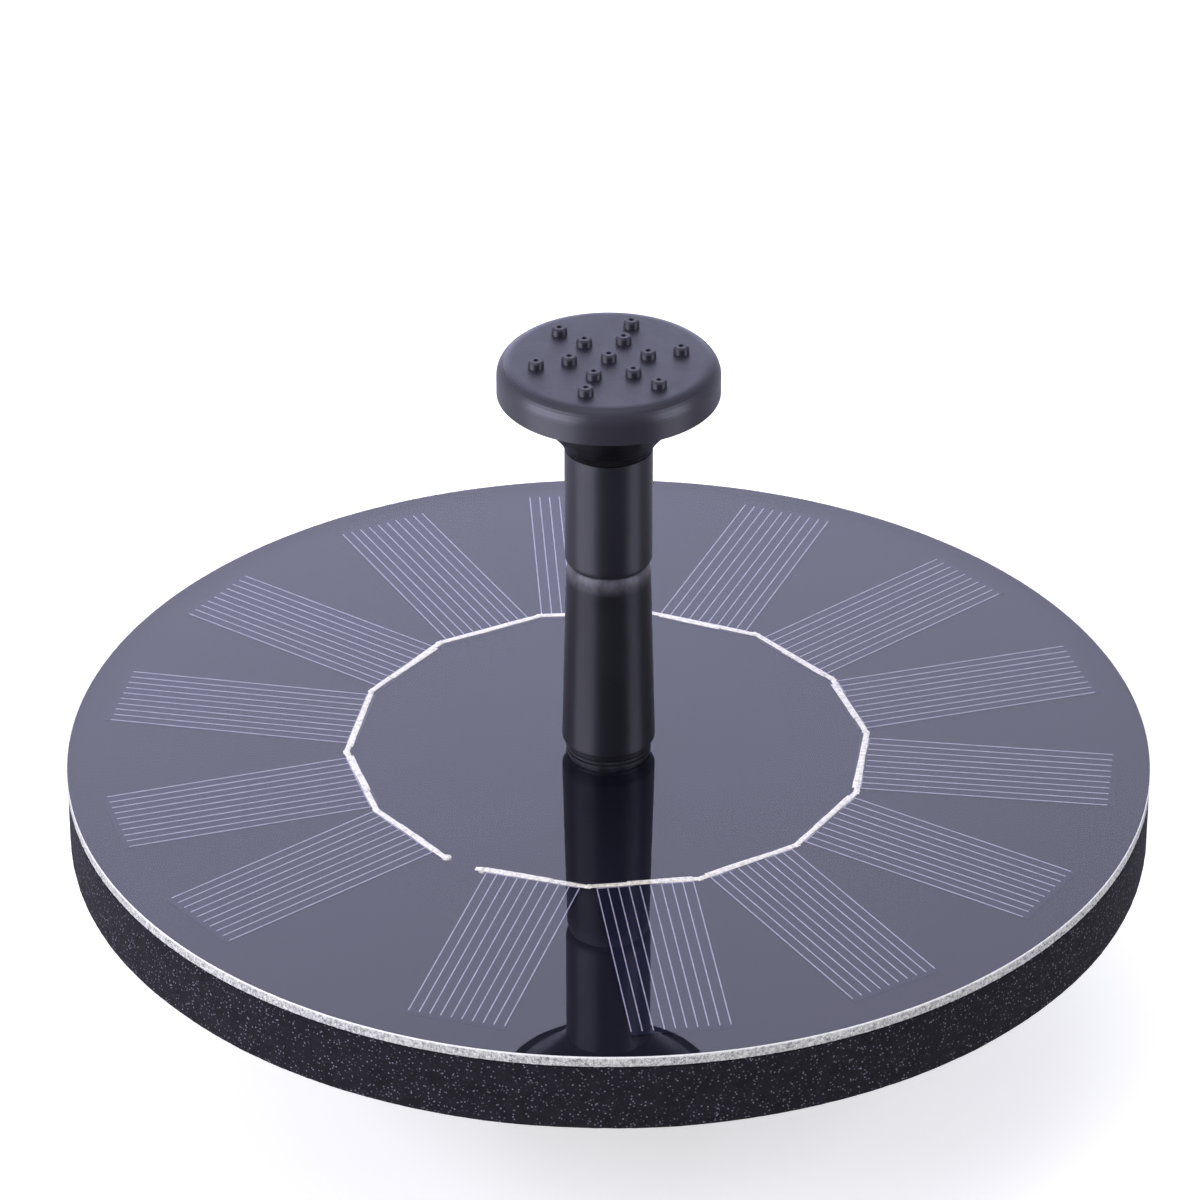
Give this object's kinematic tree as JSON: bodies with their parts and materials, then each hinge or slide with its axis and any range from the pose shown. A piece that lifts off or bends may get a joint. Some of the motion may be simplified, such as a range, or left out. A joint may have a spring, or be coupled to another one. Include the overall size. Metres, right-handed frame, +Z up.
{
  "type": "solar fountain pump",
  "caption": "Floating round solar panel with a foam float, a sealed submersible pump under it, and a riser tube with a spray head on top.",
  "frame": {"origin": "under the centre of the round panel, at the flat bottom of the pump", "axes": "+Z up along the riser, -Y towards the intake strainer, +X to the right seen from the intake side"},
  "size_m": [0.16, 0.16, 0.1123],
  "materials": {
    "clear_cover": "clear resin cover with a high gloss",
    "panel_laminate": "dark laminate with a silvery cut edge",
    "silicon": "dark violet-blue solar cell",
    "silver_print": "fine printed silver",
    "tinned_ribbon": "dull tinned copper ribbon",
    "float_foam": "closed-cell foam with a cut edge",
    "tape": "thin double-sided tape",
    "black_plastic": "satin black moulded plastic",
    "riser_plastic": "satin black plastic with an orange-peel skin",
    "sleeve_plastic": "satin dark grey plastic",
    "neck_plastic": "glossier black plastic",
    "head_plastic": "satin grey-violet plastic",
    "soft_rubber": "soft black rubber",
    "electrical_steel": "stacked steel laminations",
    "copper_winding": "enamelled copper wire",
    "circuit_board": "green solder mask",
    "component_black": "black electronic parts",
    "epoxy": "black potting epoxy",
    "ferrite": "bare ferrite magnet",
    "impeller_plastic": "pale moulded plastic",
    "ceramic": "ground ceramic rod",
    "lead_insulation": "red and black insulation",
    "solder": "bright solder",
    "sponge": "open-cell filter sponge",
    "stainless": "bright stainless steel"
  },
  "bodies": {
    "pump_and_panel": {"panel_cover": "clear_cover", "panel_board": "panel_laminate", "solar_cells": "silicon", "cell_fingers": "silver_print", "busbar_ribbon": "tinned_ribbon", "foam_float": "float_foam", "float_tape": "tape", "base_plate": "black_plastic", "outlet_seal": "soft_rubber", "pump_housing": "black_plastic", "impeller_cover": "black_plastic", "cover_o_ring": "soft_rubber", "stator_core": "electrical_steel", "stator_coils": "copper_winding", "driver_board": "circuit_board", "driver_components": "component_black", "potting_compound": "epoxy", "rotor_shaft": "ceramic", "shaft_bushes": "soft_rubber", "panel_leads": "lead_insulation", "solder_joints": "solder", "mounting_screws": "stainless"},
    "rotor": {"rotor_magnet": "ferrite", "impeller": "impeller_plastic"},
    "riser": {"riser_tube": "riser_plastic"},
    "sleeve": {"head_sleeve": "sleeve_plastic"},
    "spray_head": {"spray_head_body": "neck_plastic", "spray_head_cap": "head_plastic"},
    "strainer": {"strainer_cover": "black_plastic", "sponge_filter": "sponge"}
  },
  "joints": [
    {"name": "rotor_spin", "type": "hinge", "parent": "pump_and_panel", "child": "rotor", "pos_m": [0, 0, 0.0168], "axis": [0, 1, 0], "continuous": true},
    {"name": "riser_pull", "type": "slide", "parent": "pump_and_panel", "child": "riser", "axis": [0, 0, 1], "range_m": [0, 0.02]},
    {"name": "sleeve_pull", "type": "slide", "parent": "riser", "child": "sleeve", "axis": [0, 0, 1], "range_m": [0, 0.015]},
    {"name": "head_turn", "type": "hinge", "parent": "sleeve", "child": "spray_head", "pos_m": [0, 0, 0.1], "axis": [0, 0, 1], "continuous": true},
    {"name": "strainer_pull", "type": "slide", "parent": "pump_and_panel", "child": "strainer", "axis": [0, -1, 0], "range_m": [0, 0.03]}
  ]
}
